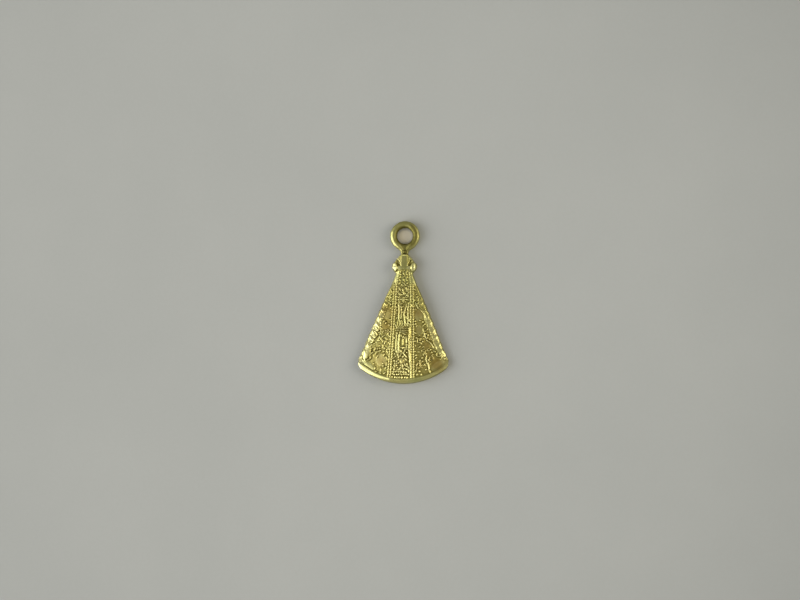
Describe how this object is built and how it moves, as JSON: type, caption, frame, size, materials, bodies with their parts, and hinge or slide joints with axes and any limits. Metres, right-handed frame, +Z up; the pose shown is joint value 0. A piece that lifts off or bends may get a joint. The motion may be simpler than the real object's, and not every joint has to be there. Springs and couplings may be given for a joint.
{
  "type": "pendant",
  "caption": "Small gilt hanging ornament: a crowned, fan-shaped mantle with beaded relief on a fixed round eye, flat behind.",
  "frame": {"origin": "centre of the hanging ring's hole, where a jump ring holds the pendant", "axes": "+Z up as the pendant hangs, +X to the right seen from the front, the relief faces -Y and the flat back +Y"},
  "size_m": [0.0122, 0.0018, 0.0221],
  "materials": {
    "gilt_polished": "polished gilding on the smooth wires, rim, ring and leaves",
    "gilt_relief": "gilt relief, bright on its tops",
    "gilt_ground": "matt gilt ground with a fine cast grain"
  },
  "bodies": {
    "root": {"back_plate": "gilt_ground", "beaded_wire_inner_left": "gilt_relief", "beaded_wire_inner_right": "gilt_relief", "beaded_wire_outer_left": "gilt_relief", "beaded_wire_outer_right": "gilt_relief", "c_scroll_right": "gilt_relief", "corner_leaf_left": "gilt_polished", "corner_leaf_right": "gilt_polished", "corner_volute_left": "gilt_relief", "corner_volute_right": "gilt_relief", "crown_arch_left": "gilt_polished", "crown_arch_right": "gilt_polished", "crown_band": "gilt_polished", "crown_body": "gilt_ground", "crown_knob_left": "gilt_polished", "crown_knob_right": "gilt_polished", "crown_rib": "gilt_polished", "divider_wire_left": "gilt_polished", "divider_wire_right": "gilt_polished", "edge_border_left": "gilt_relief", "edge_border_right": "gilt_relief", "edge_ring_left": "gilt_relief", "edge_ring_right": "gilt_relief", "flower_left": "gilt_relief", "flower_right": "gilt_relief", "granule_row_lower": "gilt_relief", "granule_row_middle": "gilt_relief", "granule_row_upper": "gilt_relief", "hanging_ring": "gilt_polished", "hem_boss": "gilt_relief", "hem_rim": "gilt_polished", "hood": "gilt_polished", "hood_leaves_left": "gilt_relief", "hood_leaves_middle": "gilt_relief", "hood_leaves_right": "gilt_relief", "lower_leaf_left": "gilt_polished", "lower_leaf_right": "gilt_relief", "mantle_body": "gilt_ground", "middle_leaf_right": "gilt_polished", "neck_bead": "gilt_polished", "niche_bud": "gilt_relief", "niche_frame": "gilt_polished", "niche_leaf": "gilt_relief", "panel_cross": "gilt_relief", "panel_dotted_band": "gilt_relief", "panel_fold_left": "gilt_polished", "panel_fold_right": "gilt_polished", "panel_loop": "gilt_relief", "panel_spray": "gilt_relief", "s_wire_right": "gilt_polished", "small_flower_left": "gilt_relief", "small_leaf_right": "gilt_relief", "spray_left": "gilt_relief", "upper_leaf_left": "gilt_polished", "upper_leaf_right": "gilt_polished"}
  },
  "joints": []
}
